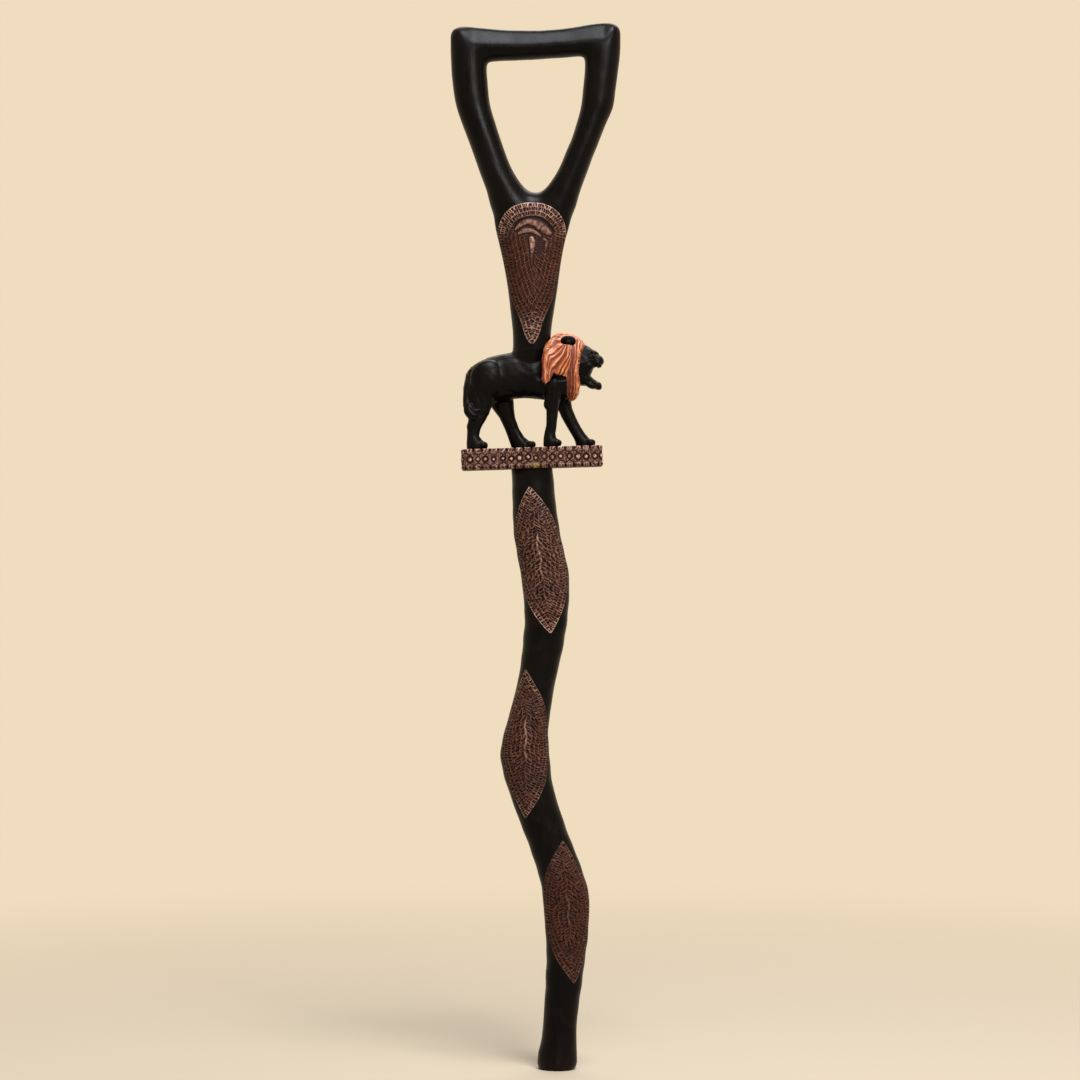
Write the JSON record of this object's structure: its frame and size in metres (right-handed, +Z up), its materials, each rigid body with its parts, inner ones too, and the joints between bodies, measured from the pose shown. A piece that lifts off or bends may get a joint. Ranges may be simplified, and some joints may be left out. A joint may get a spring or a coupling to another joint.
{
  "type": "carved walking stick",
  "caption": "Carved wooden walking stick with a looped handle, a walking lion on a beaded plinth and a serpentine shaft with leaf-shaped carved panels.",
  "frame": {"origin": "centre of the flat end of the shaft's tip", "axes": "+Z up the stick from the tip to the grip bar, +X towards the side that the lion faces, +Y to the back, away from the side that the picture shows"},
  "size_m": [0.1484, 0.046, 0.9144],
  "materials": {
    "black_stain": "black stain rubbed to a satin polish",
    "cut_brown": "chip-cut through the black to brown wood",
    "mane_stain": "orange-brown stain with darker cuts",
    "raw_hardwood": "plain glued hardwood rod"
  },
  "bodies": {
    "root": {"handle": "black_stain", "neck_dowel": "raw_hardwood", "lion": "black_stain", "mane": "mane_stain", "plinth": "cut_brown", "paw_peg_hind_near": "raw_hardwood", "paw_peg_hind_far": "raw_hardwood", "paw_peg_front_near": "raw_hardwood", "paw_peg_front_far": "raw_hardwood", "shaft_dowel": "raw_hardwood", "shaft": "black_stain"}
  },
  "joints": []
}
